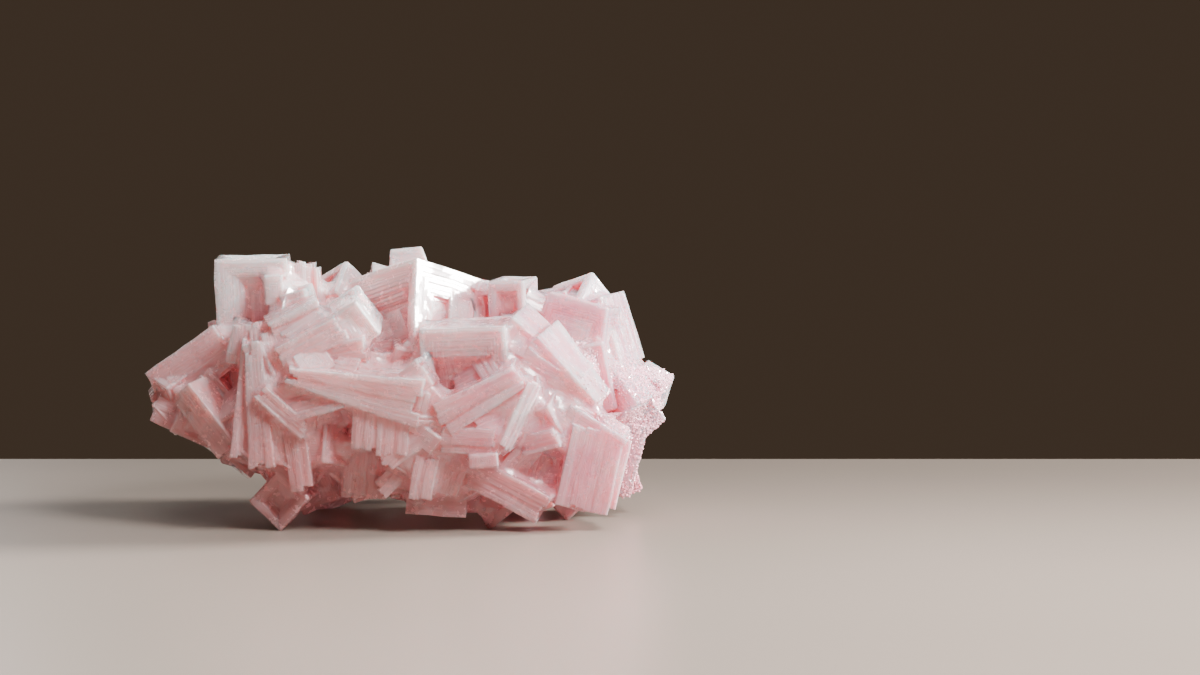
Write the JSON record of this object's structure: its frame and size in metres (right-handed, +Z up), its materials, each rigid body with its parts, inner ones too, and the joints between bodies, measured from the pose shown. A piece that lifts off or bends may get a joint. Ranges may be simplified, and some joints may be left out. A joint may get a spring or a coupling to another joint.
{
  "type": "mineral specimen",
  "caption": "Cluster of intergrown pink halite: stepped hollow cubes, ledged slabs and blades fused into one free-standing specimen.",
  "frame": {"origin": "middle of the footprint, on the surface the cluster rests on", "axes": "+Z up, X along the cluster's length, -Y towards its front, where the large hollow cubes and crossed slabs are"},
  "size_m": [0.1491, 0.0885, 0.0764],
  "materials": {
    "pink_halite": "milky translucent pink salt with glossy crystal faces and frosty white edges"
  },
  "bodies": {
    "root": {"halite_cluster": "pink_halite"}
  },
  "joints": []
}
